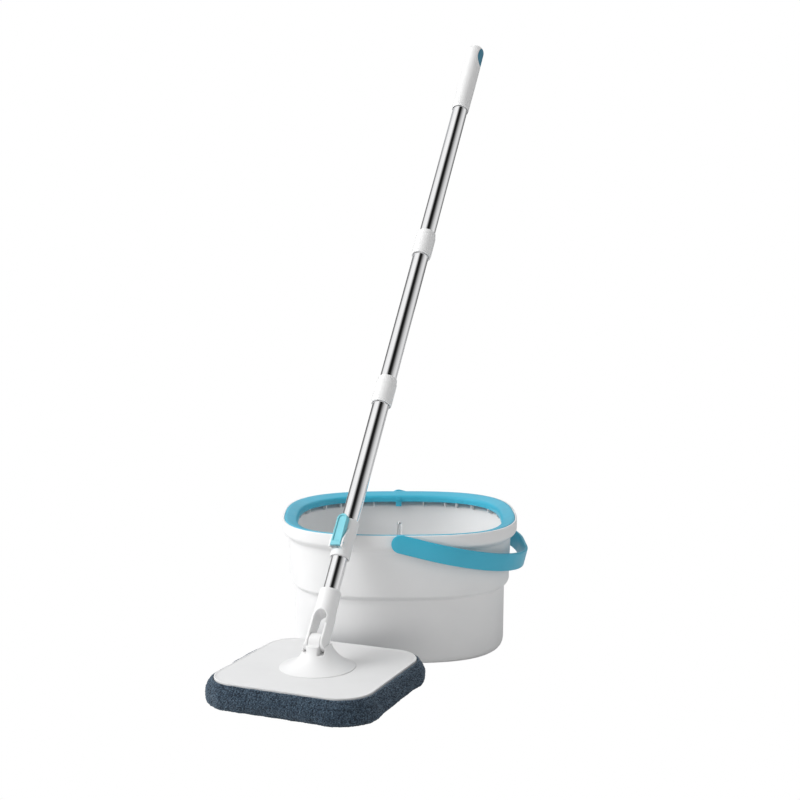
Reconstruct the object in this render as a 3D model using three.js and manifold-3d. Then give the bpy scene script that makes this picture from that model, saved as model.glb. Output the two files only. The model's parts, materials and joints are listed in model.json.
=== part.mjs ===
// Spin mop leaning on its bucket. Millimetres, +Z up.
// Origin: centre of the bucket's underside, on the floor. The bucket's sides face +-X and +-Y.
// The mop stands in front of the bucket (-Y) and its pole leans back over the front rim.
import * as THREE from 'three';
import { mergeVertices } from 'three/addons/utils/BufferGeometryUtils.js';
import Module from 'manifold-3d';

const wasm = await Module();
wasm.setup();

// ---------------------------------------------------------------- driving dimensions
const GAP = 0.3;                      // clearance kept between pieces that touch
const ROUND_STEPS = 32;               // sides of a turned piece

// bucket: a squarish oval in plan
const BUCKET_HALF_X = 185;            // nominal half width, at the outside of the blue rim
const BUCKET_HALF_Y = 186.5;
const BUCKET_POWER = 2.82;            // 2 is an ellipse, larger is squarer
const BUCKET_STEPS = 56;
const BUCKET_HEIGHT = 207;
const WALL = 3;
const BASE_RADIUS = 12;               // rounding between the underside and the side
const LOWER_OFFSET = -16.5;           // outside of the lower tier, from the nominal outline
const LOWER_TOP = 101;
const MIDDLE_OFFSET = -7;             // outside of the middle tier
const MIDDLE_BOTTOM = 107;
const MIDDLE_TOP = 178;
const BAND_OFFSET = 4;                // outside of the white rim band
const BAND_BOTTOM = 186;
const BAND_TOP = 205;
const TIER_CUTS = [3.4, 104, 182];    // heights where the shell is split into simpler pieces
const TIER_GAP = 0.04;
const RING_WIDTH = 20;                // blue ring, from its outside to the opening
const RING_SLOPE = 5.5;               // the ring's inner edge is this much lower
const RING_SKIRT = 10;                // depth of the skirt round the opening
const RING_THICK = 2.6;

// spindle in the middle of the bucket
const SPINDLE_RADIUS = 4;
const SPINDLE_TOP = 188.5;
const BOSS_RADIUS = 24;
const BOSS_TOP_RADIUS = 11;
const BOSS_HEIGHT = 70;
const NUT_RADIUS = 8;
const NUT_HEIGHT = 6;

// carrying handle
const BAIL_PIVOT_Z = 193;
const BAIL_REACH = 210;               // from the pivot line to the outside of the cross bar
const BAIL_HEIGHT = 28;
const BAIL_THICK = 5;
const BAIL_ARM = 38;                   // straight part of each arm, before the bend
const BAIL_CROSS = 29;                // half the straight part of the cross bar
const BAIL_DROOP = 14.2;               // degrees below level at rest
const BAIL_CLEAR = 1.4;               // between the handle and the rim band
const BAIL_PIN_RADIUS = 4;

// mop head, in its own frame: +Y is the way the pole leans
const HEAD_X = -120;
const HEAD_Y = -300.6;
const HEAD_YAW = -23.5;               // degrees
const HUB_TURN = 2.2;                 // degrees, the flange from the plate's own axes
const PLATE_SIDE = 239;
const PLATE_CORNER = 46;
const PLATE_TOP = 40;
const PLATE_THICK = 9;
const PLATE_SKIN = 3;
const PAD_OVERHANG = 13;              // pad beyond the plate, on every side
const PAD_TOP = 37;
const PAD_ROUND = 13;
const PAD_HOLE_RADIUS = 21;           // hole that lets the bucket's spindle through
const HUB_FOOT_RADIUS = 55;
const HUB_EDGE = 1;                   // thickness of the flange's edge
const HUB_NECK_RADIUS = 20.5;
const HUB_NECK_DROP = 2;              // top of the neck, below the hinge
const HUB_FULLNESS = 1.6;             // 1 is an elliptical flank, larger is fuller
const SOCKET_RADIUS = 13;             // socket that sits on the bucket's spindle
const SOCKET_BORE = 4.8;
const SOCKET_DEPTH = 26;
const SOCKET_ROOF = 3;

// folding joint
const HINGE_Z = 75;
const HINGE_PIN_RADIUS = 3;
const LUG_HALF_WIDTH = 9;
const LUG_RADIUS = 12.5;
const PRONG_INNER = 9.4;
const PRONG_OUTER = 16.8;
const PRONG_RADIUS = 13;
const POLE_LEAN = 38.4;               // degrees from upright

// pole, measured along its axis from the hinge
const TUBE_RADIUS = 13.2;
const TUBE_WALL = 0.8;
const INNER_TUBE_RADIUS = 12.2;
const ARCH_TOP = 44.5;
const YOKE_TOP = 79.5;
const YOKE_RADIUS = 16;
const YOKE_FLARE = 17.4;              // widest radius, above the prongs
const YOKE_SOCKET = 24;               // how deep the inner tube sits in the yoke
const INNER_TUBE_TOP = 385;
const NUT_LENGTH = 19;                // nut that the twisted strip runs through
const NUT_BORE = 5.8;
const STRIP_BOTTOM = 165;
const STRIP_TOP = 640;
const STRIP_WIDTH = 9;
const STRIP_THICK = 1.8;
const STRIP_PITCH = 110;              // one turn of the strip
const LOCK_BOTTOM = 132;
const LOCK_RING_TOP = 142;
const LOCK_TOP = 193;
const LOCK_RADIUS = 15;
const BUSH_ROOM = 13.8;               // groove in the sleeve for the guide bush
const COUPLER_LOW = [400, 448.5];
const COUPLER_HIGH = [694, 743];
const COUPLER_RADIUS = 16.5;
const GRIP_BOTTOM = 1025;
const POLE_TOP = 1182.5;
const GRIP_RADIUS = 15;
const GRIP_DEPTH = 60;                // how far the tube goes into the grip

// lock lever
const LEVER_TURN = -10;               // degrees round the pole from the front
const LEVER_WIDTH = 17;
const LEVER_LENGTH = 51.4;
const LEVER_BOTTOM = 144.6;
const LEVER_PIVOT = 149;
const LEVER_FACE = 22;                // distance of the lever's face from the pole's axis
const LEVER_AXIS = 18;              // distance of the lever's pin from the pole's axis
const LEVER_KNUCKLE = 4.1;
const LEVER_RIM = 2.4;                // raised edge round the thumb face
const THUMB_DEPTH = 1.6;
const LEVER_THICK = 8.2;
const CHEEK_FACE = 20.5;                // distance of the housing's cheeks from the pole's axis
const CHEEK_THICK = 3.5;

const rad = THREE.MathUtils.degToRad;

// ---------------------------------------------------------------- materials
const material = (color, roughness, metalness = 0) =>
  new THREE.MeshStandardMaterial({ color, roughness, metalness });
const whitePlastic = material(0xf2f2f2, 0.45);
const bluePlastic = material(0x55b4cd, 0.4);
const leverPlastic = material(0x86d6e6, 0.35);
const steel = material(0xd8d8d8, 0.15, 1);
const microfibre = material(0x44566a, 0.95);

// ---------------------------------------------------------------- solids
function toSolid(geometry, matrix = new THREE.Matrix4()) {
  let plain = geometry.clone().applyMatrix4(matrix);
  plain.deleteAttribute('normal');
  plain.deleteAttribute('uv');
  plain = mergeVertices(plain, 1e-4);
  return new wasm.Manifold(new wasm.Mesh({
    numProp: 3,
    vertProperties: new Float32Array(plain.attributes.position.array),
    triVerts: new Uint32Array(plain.index.array),
  }));
}

function toGeometry(solid) {
  const mesh = solid.getMesh();
  const geometry = new THREE.BufferGeometry();
  geometry.setAttribute('position', new THREE.BufferAttribute(new Float32Array(mesh.vertProperties), 3));
  geometry.setIndex(new THREE.BufferAttribute(new Uint32Array(mesh.triVerts), 1));
  return geometry;
}

function piece(name, solid, look) {
  const geometry = solid.isBufferGeometry ? solid : toGeometry(solid);
  const mesh = new THREE.Mesh(geometry, look);
  mesh.name = name;
  return mesh;
}

const place = (x, y, z) => new THREE.Matrix4().makeTranslation(x, y, z);

// A profile of [radius, z] pairs turned round the Z axis.
function turned(profile, steps = ROUND_STEPS) {
  const points = profile.map(([radius, z]) => new THREE.Vector2(radius, z));
  return new THREE.LatheGeometry(points, steps).rotateX(Math.PI / 2);
}

// A rod or a tube along Z.
function rod(radius, bottom, top, steps = ROUND_STEPS) {
  return turned([[0, bottom], [radius, bottom], [radius, top], [0, top]], steps);
}

function tube(outer, inner, bottom, top, steps = ROUND_STEPS) {
  return turned([[inner, bottom], [outer, bottom], [outer, top], [inner, top], [inner, bottom]], steps);
}

// A rod along X or Y, centred on the other two axes.
function rodAlongX(radius, from, to, steps = ROUND_STEPS) {
  return rod(radius, from, to, steps).rotateY(Math.PI / 2);
}

function rodAlongY(radius, from, to, steps = ROUND_STEPS) {
  return rod(radius, -to, -from, steps).rotateX(Math.PI / 2);
}

function block(low, high) {
  const size = high.map((value, i) => value - low[i]);
  return new THREE.BoxGeometry(...size).translate(...low.map((value, i) => value + size[i] / 2));
}

// Points of a quarter circle in a profile, from one angle to another in degrees.
function arc(centreX, centreZ, radius, from, to, steps) {
  return Array.from({ length: steps + 1 }, (_, i) => {
    const angle = rad(from + ((to - from) * i) / steps);
    return [centreX + radius * Math.cos(angle), centreZ + radius * Math.sin(angle)];
  });
}

// A square with round corners.
function roundSquare(side, corner) {
  const half = side / 2;
  const inner = half - corner;
  const shape = new THREE.Shape();
  shape.moveTo(half, -inner);
  shape.lineTo(half, inner);
  shape.absarc(inner, inner, corner, 0, Math.PI / 2);
  shape.absarc(-inner, inner, corner, Math.PI / 2, Math.PI);
  shape.absarc(-inner, -inner, corner, Math.PI, 1.5 * Math.PI);
  shape.absarc(inner, -inner, corner, 1.5 * Math.PI, 2 * Math.PI);
  return shape;
}

function slab(shape, bottom, top, curveSegments = 8) {
  return new THREE.ExtrudeGeometry(shape, { depth: top - bottom, bevelEnabled: false, curveSegments })
    .translate(0, 0, bottom);
}

// ---------------------------------------------------------------- bucket
// Turns a round profile into the bucket's squarish oval.
function bucketShape(profile) {
  const geometry = turned(profile, BUCKET_STEPS);
  const position = geometry.attributes.position;
  const stretch = BUCKET_HALF_Y / BUCKET_HALF_X;
  const squarer = (value) => Math.sign(value) * Math.abs(value) ** (2 / BUCKET_POWER);
  for (let i = 0; i < position.count; i += 1) {
    const x = position.getX(i);
    const y = position.getY(i);
    const radius = Math.hypot(x, y);
    if (radius > 0) {
      position.setXY(i, radius * squarer(x / radius), radius * stretch * squarer(y / radius));
    }
  }
  return geometry;
}

const at = (offset) => BUCKET_HALF_X + offset;

function bucketShell() {
  const inner = (offset) => at(offset - WALL);
  const profile = [
    [0, 0],
    ...arc(at(LOWER_OFFSET) - BASE_RADIUS, BASE_RADIUS, BASE_RADIUS, -90, 0, 4),
    [at(LOWER_OFFSET + 1), LOWER_TOP],
    [at(MIDDLE_OFFSET - 1), MIDDLE_BOTTOM],
    [at(MIDDLE_OFFSET + 1), MIDDLE_TOP],
    [at(BAND_OFFSET), BAND_BOTTOM],
    [at(BAND_OFFSET), BAND_TOP - 2],
    [at(BAND_OFFSET) - 1.2, BAND_TOP],
    [inner(BAND_OFFSET), BAND_TOP],
    [inner(BAND_OFFSET), BAND_BOTTOM + WALL],
    [inner(MIDDLE_OFFSET + 1), MIDDLE_TOP + WALL],
    [inner(MIDDLE_OFFSET - 1), MIDDLE_BOTTOM + WALL],
    [inner(LOWER_OFFSET + 1), LOWER_TOP + WALL],
    ...arc(at(LOWER_OFFSET) - BASE_RADIUS, BASE_RADIUS, BASE_RADIUS - WALL, 0, -90, 4),
    [0, WALL],
  ];
  let shell = toSolid(bucketShape(profile));
  for (const side of [-1, 1]) {
    const far = side * (BUCKET_HALF_Y + BAND_OFFSET + 10);
    const near = side * (BUCKET_HALF_Y - WALL - 8);
    const hole = rodAlongY(BAIL_PIN_RADIUS + GAP, Math.min(near, far), Math.max(near, far), 16);
    shell = shell.subtract(toSolid(hole, place(0, 0, BAIL_PIVOT_Z)));
  }
  const names = ['bucket_floor', 'bucket_lower', 'bucket_middle', 'bucket_band'];
  const heights = [-1, ...TIER_CUTS, BAND_TOP + 1];
  const wide = BUCKET_HALF_X + 2 * BAND_OFFSET;
  return names.map((name, i) => {
    const slice = block([-wide, -wide, heights[i] + TIER_GAP], [wide, wide, heights[i + 1]]);
    return piece(name, shell.intersect(toSolid(slice)), whitePlastic);
  });
}

function rimRing() {
  const outside = BAND_OFFSET - WALL - GAP;
  const skirtBottom = BUCKET_HEIGHT - RING_SLOPE - RING_SKIRT;
  const profile = [
    [at(outside), BUCKET_HEIGHT],
    [at(-RING_WIDTH), BUCKET_HEIGHT - RING_SLOPE],
    [at(-RING_WIDTH), skirtBottom],
    [at(-RING_WIDTH + RING_THICK), skirtBottom],
    [at(-RING_WIDTH + RING_THICK), BUCKET_HEIGHT - RING_SLOPE - RING_THICK],
    [at(outside - RING_THICK), BUCKET_HEIGHT - RING_THICK],
    [at(outside - RING_THICK), BAND_BOTTOM + WALL + 12],
    [at(outside), BAND_BOTTOM + WALL + 12],
    [at(outside), BUCKET_HEIGHT],
  ];
  return piece('rim_ring', bucketShape(profile), bluePlastic);
}

function spindle() {
  const bossBottom = WALL + GAP;
  const nutBottom = BOSS_HEIGHT + GAP;
  const boss = toSolid(turned([
    [0, bossBottom],
    [BOSS_RADIUS, bossBottom],
    [BOSS_TOP_RADIUS, BOSS_HEIGHT],
    [0, BOSS_HEIGHT],
  ])).subtract(toSolid(rod(SPINDLE_RADIUS + GAP, BOSS_HEIGHT - 30, BOSS_HEIGHT + 1, 16)));
  const pin = turned([
    [0, BOSS_HEIGHT - 30 + GAP],
    [SPINDLE_RADIUS, BOSS_HEIGHT - 30 + GAP],
    ...arc(0, SPINDLE_TOP - SPINDLE_RADIUS, SPINDLE_RADIUS, 0, 90, 4),
  ], 16);
  const nut = toSolid(rod(NUT_RADIUS, nutBottom, nutBottom + NUT_HEIGHT, 6))
    .subtract(toSolid(rod(SPINDLE_RADIUS + GAP, nutBottom - 1, nutBottom + NUT_HEIGHT + 1, 16)));
  return [
    piece('spindle_boss', boss, whitePlastic),
    piece('spindle_pin', pin, steel),
    piece('spindle_nut', nut, steel),
  ];
}

// ---------------------------------------------------------------- carrying handle
// Modelled level, then turned down about its pivot line.
function bail() {
  const insideY = BUCKET_HALF_Y + BAND_OFFSET + BAIL_CLEAR;
  const outsideY = insideY + BAIL_THICK;
  const bend = (halfY, reach, side) => arc(0, 0, 1, 90 * Math.min(side, 0), 90 * Math.max(side, 0), 10)
    .map(([x, y]) => [BAIL_ARM + (reach - BAIL_ARM) * x, side * BAIL_CROSS + (halfY - BAIL_CROSS) * y]);
  const track = (halfY, reach) => [
    [0, -halfY],
    ...bend(halfY, reach, -1),
    ...bend(halfY, reach, 1),
    [0, halfY],
  ];
  const outline = [
    ...track(outsideY, BAIL_REACH),
    ...track(insideY, BAIL_REACH - BAIL_THICK).reverse(),
  ].map(([x, y]) => new THREE.Vector2(x, y));
  let solid = toSolid(slab(new THREE.Shape(outline), -BAIL_HEIGHT / 2, BAIL_HEIGHT / 2));
  const pins = [];
  for (const side of [-1, 1]) {
    const span = [side * insideY, side * outsideY].sort((a, b) => a - b);
    solid = solid.add(toSolid(rodAlongY(BAIL_HEIGHT / 2, span[0], span[1])));
    const pocket = [side * (insideY - 1), side * (insideY + BAIL_THICK / 2)].sort((a, b) => a - b);
    solid = solid.subtract(toSolid(rodAlongY(BAIL_PIN_RADIUS + GAP, pocket[0], pocket[1], 16)));
    const reach = [
      side * (BUCKET_HALF_Y - WALL),
      side * (insideY + BAIL_THICK / 2 - GAP),
    ].sort((a, b) => a - b);
    const name = side < 0 ? 'bail_pin_front' : 'bail_pin_back';
    pins.push(piece(name, rodAlongY(BAIL_PIN_RADIUS, reach[0], reach[1], 16), bluePlastic));
  }
  const group = new THREE.Group();
  group.add(piece('bail_handle', solid, bluePlastic), ...pins);
  group.position.z = BAIL_PIVOT_Z;
  group.rotation.y = rad(BAIL_DROOP);
  return group;
}

// ---------------------------------------------------------------- mop head
function mopPlate() {
  const bottom = PLATE_TOP - PLATE_THICK;
  const rimWidth = 5;
  const hollowSide = PLATE_SIDE - 2 * rimWidth;
  const hollow = slab(roundSquare(hollowSide, PLATE_CORNER - rimWidth), bottom - 1, PLATE_TOP - PLATE_SKIN);
  const ribHalf = 1.5;
  let plate = toSolid(slab(roundSquare(PLATE_SIDE, PLATE_CORNER), bottom, PLATE_TOP));
  plate = plate.subtract(toSolid(hollow));
  const span = PLATE_SIDE / 2 - rimWidth / 2;
  const top = PLATE_TOP - PLATE_SKIN / 2;
  plate = plate.add(toSolid(block([-span, -ribHalf, bottom], [span, ribHalf, top])));
  plate = plate.add(toSolid(block([-ribHalf, -span, bottom], [ribHalf, span, top])));
  plate = plate.subtract(toSolid(rod(SOCKET_RADIUS + GAP, bottom - 1, PLATE_TOP + 1)));
  return piece('mop_plate', plate, whitePlastic);
}

function mopPad() {
  const side = PLATE_SIDE + 2 * PAD_OVERHANG;
  const core = new THREE.ExtrudeGeometry(roundSquare(side - 2 * PAD_ROUND, PLATE_CORNER), {
    depth: PAD_TOP - 2 * PAD_ROUND,
    bevelThickness: PAD_ROUND,
    bevelSize: PAD_ROUND,
    bevelSegments: 4,
    curveSegments: 8,
  }).translate(0, 0, PAD_ROUND);
  const seat = slab(
    roundSquare(PLATE_SIDE + 2 * GAP, PLATE_CORNER + GAP),
    PLATE_TOP - PLATE_THICK - GAP,
    PAD_TOP + 1,
  );
  const pad = toSolid(core)
    .subtract(toSolid(seat))
    .subtract(toSolid(rod(PAD_HOLE_RADIUS, -1, PAD_TOP + 1)));
  return piece('mop_pad', pad, microfibre);
}

// Trumpet-shaped flange with a lug in the middle for the folding joint.
function hub() {
  const foot = PLATE_TOP + GAP;
  const shoulder = HINGE_Z - PRONG_RADIUS - GAP;
  const sweep = HUB_FOOT_RADIUS - HUB_NECK_RADIUS;
  const neckTop = HINGE_Z - HUB_NECK_DROP;
  const steps = 9;
  const flank = Array.from({ length: steps }, (_, i) => {
    const angle = rad(90 * (i / (steps - 1)));
    const radius = HUB_FOOT_RADIUS - sweep * Math.sin(angle) ** HUB_FULLNESS;
    return [radius, foot + HUB_EDGE + (neckTop - foot - HUB_EDGE) * (1 - Math.cos(angle))];
  });
  let body = toSolid(turned([[0, foot], [HUB_FOOT_RADIUS, foot], ...flank, [0, neckTop]], 40));
  const slot = PRONG_OUTER + GAP;
  for (const side of [-1, 1]) {
    const span = [side * LUG_HALF_WIDTH, side * slot].sort((a, b) => a - b);
    body = body.subtract(toSolid(rodAlongX(PRONG_RADIUS + GAP, span[0], span[1]), place(0, 0, HINGE_Z)));
    body = body.subtract(toSolid(block([span[0], -HUB_FOOT_RADIUS, shoulder], [span[1], HUB_FOOT_RADIUS, HINGE_Z])));
  }
  const lug = toSolid(rodAlongX(LUG_RADIUS, -LUG_HALF_WIDTH, LUG_HALF_WIDTH), place(0, 0, HINGE_Z))
    .add(toSolid(block([-LUG_HALF_WIDTH, -LUG_RADIUS, foot + 2], [LUG_HALF_WIDTH, LUG_RADIUS, HINGE_Z])));
  body = body.add(lug);
  body = body.subtract(toSolid(rodAlongX(HINGE_PIN_RADIUS + GAP, -30, 30, 16), place(0, 0, HINGE_Z)));
  return piece('hub', body, whitePlastic);
}

function spindleSocket() {
  const bottom = PLATE_TOP - SOCKET_DEPTH;
  const cup = toSolid(rod(SOCKET_RADIUS, bottom, PLATE_TOP))
    .subtract(toSolid(rod(SOCKET_BORE, bottom - 1, PLATE_TOP - SOCKET_ROOF, 16)));
  return piece('spindle_socket', cup, whitePlastic);
}

function hingePin() {
  const half = PRONG_OUTER - 1.5;
  const pin = rodAlongX(HINGE_PIN_RADIUS, -half, half, 16).translate(0, 0, HINGE_Z);
  return piece('hinge_pin', pin, steel);
}

// ---------------------------------------------------------------- yoke and inner tube
// These and everything above are built along the pole's axis, with the hinge at the origin.
function yoke() {
  const socket = turned([
    [0, ARCH_TOP - 20],
    [YOKE_FLARE, ARCH_TOP - 20],
    [YOKE_RADIUS, ARCH_TOP + 8],
    [YOKE_RADIUS, YOKE_TOP - 2],
    [YOKE_RADIUS - 2, YOKE_TOP],
    [0, YOKE_TOP],
  ]);
  let body = toSolid(socket);
  for (const side of [-1, 1]) {
    const span = [side * PRONG_INNER, side * PRONG_OUTER].sort((a, b) => a - b);
    body = body.add(toSolid(rodAlongX(PRONG_RADIUS, span[0], span[1])));
    body = body.add(toSolid(block([span[0], -PRONG_RADIUS + 1, 0], [span[1], PRONG_RADIUS - 1, ARCH_TOP - 12])));
  }
  body = body.intersect(toSolid(rod(YOKE_FLARE, -PRONG_RADIUS - 1, YOKE_TOP)));
  const archRadius = PRONG_INNER;
  const arch = toSolid(rodAlongY(archRadius, -30, 30), place(0, 0, ARCH_TOP - archRadius))
    .add(toSolid(block([-archRadius, -30, -PRONG_RADIUS - 5], [archRadius, 30, ARCH_TOP - archRadius])));
  const lugRoom = toSolid(rodAlongX(LUG_RADIUS + 1, -PRONG_INNER, PRONG_INNER));
  body = body.subtract(arch).subtract(lugRoom);
  body = body.subtract(toSolid(rodAlongX(HINGE_PIN_RADIUS + GAP, -PRONG_OUTER + 1, PRONG_OUTER - 1, 16)));
  const bore = INNER_TUBE_RADIUS + GAP;
  body = body.subtract(toSolid(rod(bore, YOKE_TOP - YOKE_SOCKET, YOKE_TOP + 1)));
  return piece('yoke', body, whitePlastic);
}

function innerTube() {
  const bottom = YOKE_TOP - YOKE_SOCKET + GAP;
  const shape = tube(INNER_TUBE_RADIUS, INNER_TUBE_RADIUS - TUBE_WALL, bottom, INNER_TUBE_TOP, 24);
  return piece('inner_tube', shape, steel);
}

function driveNut() {
  const outer = INNER_TUBE_RADIUS - TUBE_WALL - GAP;
  const shape = tube(outer, NUT_BORE, INNER_TUBE_TOP - NUT_LENGTH, INNER_TUBE_TOP - 1, 24);
  return piece('drive_nut', shape, whitePlastic);
}

// ---------------------------------------------------------------- pole
function guideBush() {
  const bush = tube(BUSH_ROOM - GAP, INNER_TUBE_RADIUS + GAP, LOCK_BOTTOM + 3, LOCK_RING_TOP - 2, 24);
  return piece('guide_bush', bush, whitePlastic);
}

// Twisted strip that turns the head when the pole is pushed down over the inner tube, in short flat lengths.
function twistedStrip() {
  const lengths = 60;
  const step = (STRIP_TOP - STRIP_BOTTOM) / lengths;
  const lap = 0.2;
  let strip;
  for (let i = 0; i < lengths; i += 1) {
    const low = STRIP_BOTTOM + i * step;
    const high = Math.min(low + step + lap, STRIP_TOP);
    const bar = block([-STRIP_WIDTH / 2, -STRIP_THICK / 2, low], [STRIP_WIDTH / 2, STRIP_THICK / 2, high]);
    const turn = new THREE.Matrix4().makeRotationZ((2 * Math.PI * i * step) / STRIP_PITCH);
    const solid = toSolid(bar, turn);
    strip = strip ? strip.add(solid) : solid;
  }
  return piece('twisted_strip', strip, steel);
}

function stripPlug() {
  const plug = rod(TUBE_RADIUS - TUBE_WALL - GAP, STRIP_TOP + GAP, STRIP_TOP + 20, 24);
  return piece('strip_plug', plug, whitePlastic);
}

function poleTubes() {
  const inner = TUBE_RADIUS - TUBE_WALL;
  const spans = [
    ['tube_lower', LOCK_RING_TOP + 4, (COUPLER_LOW[0] + COUPLER_LOW[1]) / 2 - GAP],
    ['tube_middle', (COUPLER_LOW[0] + COUPLER_LOW[1]) / 2 + GAP, (COUPLER_HIGH[0] + COUPLER_HIGH[1]) / 2 - GAP],
    ['tube_upper', (COUPLER_HIGH[0] + COUPLER_HIGH[1]) / 2 + GAP, GRIP_BOTTOM + GRIP_DEPTH],
  ];
  return spans.map(([name, from, to]) => piece(name, tube(TUBE_RADIUS, inner, from, to, 24), steel));
}

function couplers() {
  const inner = TUBE_RADIUS + GAP;
  const shape = ([from, to]) => turned([
    [inner, from],
    [COUPLER_RADIUS, from],
    [COUPLER_RADIUS, to - 7],
    [COUPLER_RADIUS - 1.5, to],
    [inner, to],
    [inner, from],
  ], 24);
  return [
    piece('coupler_lower', shape(COUPLER_LOW), whitePlastic),
    piece('coupler_upper', shape(COUPLER_HIGH), whitePlastic),
  ];
}

// Clamp body: a sleeve on the tube with two cheeks that hold the lever's pin.
function lockHousing() {
  const cheekOuter = LEVER_WIDTH / 2 + CHEEK_THICK;
  const cheekInner = LEVER_WIDTH / 2 + GAP;
  let body = toSolid(turned([
    [0, LOCK_BOTTOM],
    [LOCK_RADIUS, LOCK_BOTTOM],
    [LOCK_RADIUS, LOCK_TOP - 2],
    [LOCK_RADIUS - 1, LOCK_TOP],
    [0, LOCK_TOP],
  ]));
  const cheek = new THREE.Shape([
    new THREE.Vector2(0, LOCK_RING_TOP),
    new THREE.Vector2(-CHEEK_FACE, LOCK_RING_TOP),
    new THREE.Vector2(-CHEEK_FACE, LEVER_PIVOT + 6),
    new THREE.Vector2(-LOCK_RADIUS + 2, LEVER_PIVOT + 26),
    new THREE.Vector2(0, LEVER_PIVOT + 30),
  ].reverse());
  const cheeks = new THREE.ExtrudeGeometry(cheek, { depth: 2 * cheekOuter, bevelEnabled: false });
  cheeks.applyMatrix4(new THREE.Matrix4().set(
    0, 0, 1, -cheekOuter,
    1, 0, 0, 0,
    0, 1, 0, 0,
    0, 0, 0, 1,
  ));
  body = body.add(toSolid(cheeks));
  const room = block([-cheekInner, -60, LOCK_RING_TOP], [cheekInner, -TUBE_RADIUS + 0.5, LOCK_TOP + 1]);
  body = body.subtract(toSolid(room));
  body = body.subtract(toSolid(rod(TUBE_RADIUS + GAP, LOCK_RING_TOP + 4 - GAP, LOCK_TOP + 1)));
  body = body.subtract(toSolid(rod(INNER_TUBE_RADIUS + GAP, LOCK_BOTTOM - 1, LOCK_TOP)));
  body = body.subtract(toSolid(rod(BUSH_ROOM, LOCK_BOTTOM + 3 - GAP, LOCK_RING_TOP - 2 + GAP)));
  const pinHole = rodAlongX(1.5 + GAP, -cheekOuter - 1, cheekOuter + 1, 12);
  body = body.subtract(toSolid(pinHole, place(0, -LEVER_AXIS, LEVER_PIVOT)));
  return piece('lock_housing', body, whitePlastic);
}

function leverPin() {
  const half = LEVER_WIDTH / 2 + CHEEK_THICK - 0.3;
  const pin = rodAlongX(1.5, -half, half, 12).translate(0, -LEVER_AXIS, LEVER_PIVOT);
  return piece('lever_pin', pin, steel);
}

// Lever with a round top and a hollowed thumb face.
function lockLever() {
  const half = LEVER_WIDTH / 2;
  const top = LEVER_BOTTOM + LEVER_LENGTH - half;
  const outline = (inset) => {
    const shape = new THREE.Shape();
    shape.moveTo(-half + inset, LEVER_BOTTOM + inset);
    shape.lineTo(half - inset, LEVER_BOTTOM + inset);
    shape.lineTo(half - inset, top);
    shape.absarc(0, top, half - inset, 0, Math.PI);
    return shape;
  };
  const upright = (shape, front, back) => {
    const depth = back - front;
    const geometry = new THREE.ExtrudeGeometry(shape, { depth, bevelEnabled: false, curveSegments: 10 });
    return geometry.rotateX(Math.PI / 2).translate(0, back, 0);
  };
  const face = -LEVER_FACE;
  let body = toSolid(upright(outline(0), face, face + LEVER_THICK));
  body = body.subtract(toSolid(upright(outline(LEVER_RIM), face - 1, face + THUMB_DEPTH)));
  const clear = block([-half - 1, -LEVER_AXIS, LEVER_BOTTOM - 1], [half + 1, 0, LEVER_PIVOT]);
  body = body.subtract(toSolid(clear));
  const knuckle = rodAlongX(LEVER_KNUCKLE, -half, half, 16).translate(0, -LEVER_AXIS, LEVER_PIVOT);
  body = body.add(toSolid(knuckle));
  const bore = rodAlongX(1.5 + GAP, -half - 1, half + 1, 12);
  body = body.subtract(toSolid(bore, place(0, -LEVER_AXIS, LEVER_PIVOT)));
  return piece('lock_lever', body, leverPlastic);
}

function grip() {
  const insertCentre = [GRIP_RADIUS + 1, 2, POLE_TOP - 26];
  const scoop = (grow) => {
    const ball = new THREE.SphereGeometry(1, 24, 16);
    ball.scale(7.5 + grow, 11 + grow, 21 + grow);
    return toSolid(ball.translate(...insertCentre));
  };
  const body = toSolid(turned([
    [0, GRIP_BOTTOM],
    [GRIP_RADIUS, GRIP_BOTTOM],
    [GRIP_RADIUS + 0.8, GRIP_BOTTOM + 45],
    [GRIP_RADIUS, GRIP_BOTTOM + 90],
    ...arc(0, POLE_TOP - 14, 14, 0, 90, 6).map(([r, z]) => [r * (GRIP_RADIUS / 14), z]),
  ]));
  const hole = toSolid(rod(TUBE_RADIUS + GAP, GRIP_BOTTOM - 1, GRIP_BOTTOM + GRIP_DEPTH + GAP, 24));
  const sleeve = body.subtract(hole).subtract(scoop(GAP));
  const insert = body.intersect(scoop(0));
  return [
    piece('grip', sleeve, whitePlastic),
    piece('grip_insert', insert, bluePlastic),
  ];
}

// ---------------------------------------------------------------- assembly
const object = new THREE.Group();
object.add(...bucketShell(), rimRing(), ...spindle(), bail());

const head = new THREE.Group();
head.position.set(HEAD_X, HEAD_Y, 0);
head.rotation.z = rad(HEAD_YAW);
head.add(mopPlate(), mopPad(), spindleSocket());
object.add(head);

const joint = new THREE.Group();
joint.rotation.z = rad(HUB_TURN);
joint.add(hub(), hingePin());
head.add(joint);

const pole = new THREE.Group();
pole.position.z = HINGE_Z;
pole.rotation.x = -rad(POLE_LEAN);
pole.add(yoke(), innerTube(), driveNut(), guideBush(), twistedStrip(), stripPlug());
pole.add(...poleTubes(), ...couplers(), ...grip());
joint.add(pole);

const lock = new THREE.Group();
lock.rotation.z = rad(LEVER_TURN);
lock.add(lockHousing(), lockLever(), leverPin());
pole.add(lock);

export default object;
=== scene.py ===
"""Looks for the spin mop and its bucket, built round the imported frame.

Lengths below are millimetres unless a name says otherwise; MM turns them into the frame's metres.
The bucket stands on the origin. The mop's pieces are built in two frames of their own: the head's, with its
origin on the floor under the hinge, and the pole's, with its origin at the hinge and Z along the pole.
"""
import json
import math

import bpy
import numpy as np
from mathutils import Matrix, Vector


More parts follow.
